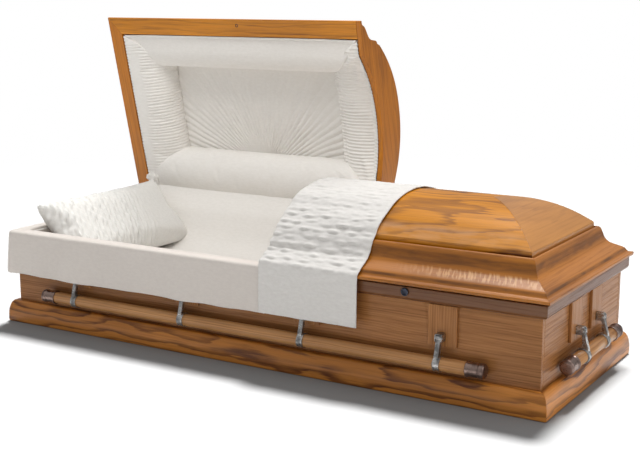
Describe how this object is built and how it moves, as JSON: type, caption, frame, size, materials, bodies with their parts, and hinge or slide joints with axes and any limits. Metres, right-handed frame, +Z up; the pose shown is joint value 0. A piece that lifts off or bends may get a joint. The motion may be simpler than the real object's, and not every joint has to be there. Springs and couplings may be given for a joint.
{
  "type": "half-couch wooden casket with an open head lid",
  "caption": "Rectangular oak casket with a flared base moulding, domed split lid standing open at the head, swing-bar handles, padded cloth interior, pillow and draped throw.",
  "frame": {"origin": "middle of the underside", "axes": "+X along the length towards the foot end, -Y towards the front that opens, +Z up"},
  "size_m": [2.179, 0.9589, 1.1163],
  "materials": {
    "oak": "honey oak with dark grain, satin lacquer",
    "cloth": "warm white crepe, smooth, shirred and crushed",
    "pewter": "antique pewter plating, bright on the high spots",
    "bronze": "dark brushed bronze plating",
    "black_steel": "blued black, semi-gloss"
  },
  "bodies": {
    "root": {"apron": "cloth", "base_moulding_foot": "oak", "base_moulding_front": "oak", "base_moulding_head": "oak", "base_moulding_rear": "oak", "bottom_board": "oak", "end_board_foot": "oak", "end_board_head": "oak", "handle_ear_foot_1": "pewter", "handle_ear_foot_2": "pewter", "handle_ear_front_1": "pewter", "handle_ear_front_2": "pewter", "handle_ear_front_3": "pewter", "handle_ear_front_4": "pewter", "handle_ear_head_1": "pewter", "handle_ear_head_2": "pewter", "handle_ear_rear_1": "pewter", "handle_ear_rear_2": "pewter", "handle_ear_rear_3": "pewter", "handle_ear_rear_4": "pewter", "interior_lining": "cloth", "lock_cap": "black_steel", "mattress": "cloth", "pilaster_foot_1": "oak", "pilaster_foot_2": "oak", "pilaster_front_1": "oak", "pilaster_front_2": "oak", "pilaster_front_3": "oak", "pilaster_front_4": "oak", "pilaster_head_1": "oak", "pilaster_head_2": "oak", "pilaster_rear_1": "oak", "pilaster_rear_2": "oak", "pilaster_rear_3": "oak", "pilaster_rear_4": "oak", "pillow": "cloth", "rim_moulding_foot": "oak", "rim_moulding_front": "oak", "rim_moulding_head": "oak", "rim_moulding_rear": "oak", "side_board_front": "oak", "side_board_rear": "oak"},
    "head_lid": {"head_lid_crown_end": "oak", "head_lid_crown_panel": "oak", "head_lid_header_board": "oak", "head_lid_liner": "cloth", "head_lid_moulding_end": "oak", "head_lid_moulding_front": "oak", "head_lid_moulding_rear": "oak"},
    "foot_lid": {"foot_lid_crown_end": "oak", "foot_lid_crown_panel": "oak", "foot_lid_header_board": "oak", "foot_lid_moulding_end": "oak", "foot_lid_moulding_front": "oak", "foot_lid_moulding_rear": "oak", "throw": "cloth"},
    "handle_front": {"handle_front": "oak"},
    "handle_rear": {"handle_rear": "oak"},
    "handle_head": {"handle_head": "oak"},
    "handle_foot": {"handle_foot": "oak"}
  },
  "joints": [
    {"name": "head_lid_hinge", "type": "hinge", "parent": "root", "child": "head_lid", "pos_m": [-0.48, 0.393, 0.3455], "axis": [1, 0, 0], "range_deg": [0, 76.9], "deforming": ["pillow"]},
    {"name": "foot_lid_hinge", "type": "hinge", "parent": "root", "child": "foot_lid", "pos_m": [0.58, 0.393, 0.3455], "axis": [-1, 0, 0], "range_deg": [0, 76.9]},
    {"name": "handle_front_swing", "type": "hinge", "parent": "root", "child": "handle_front", "pos_m": [0, -0.396, 0.201], "axis": [-1, 0, 0], "range_deg": [0, 60]},
    {"name": "handle_rear_swing", "type": "hinge", "parent": "root", "child": "handle_rear", "pos_m": [0, 0.396, 0.201], "axis": [1, 0, 0], "range_deg": [0, 60]},
    {"name": "handle_head_swing", "type": "hinge", "parent": "root", "child": "handle_head", "pos_m": [-1.064, 0, 0.201], "axis": [0, 1, 0], "range_deg": [0, 60]},
    {"name": "handle_foot_swing", "type": "hinge", "parent": "root", "child": "handle_foot", "pos_m": [1.064, 0, 0.201], "axis": [0, -1, 0], "range_deg": [0, 60]}
  ]
}
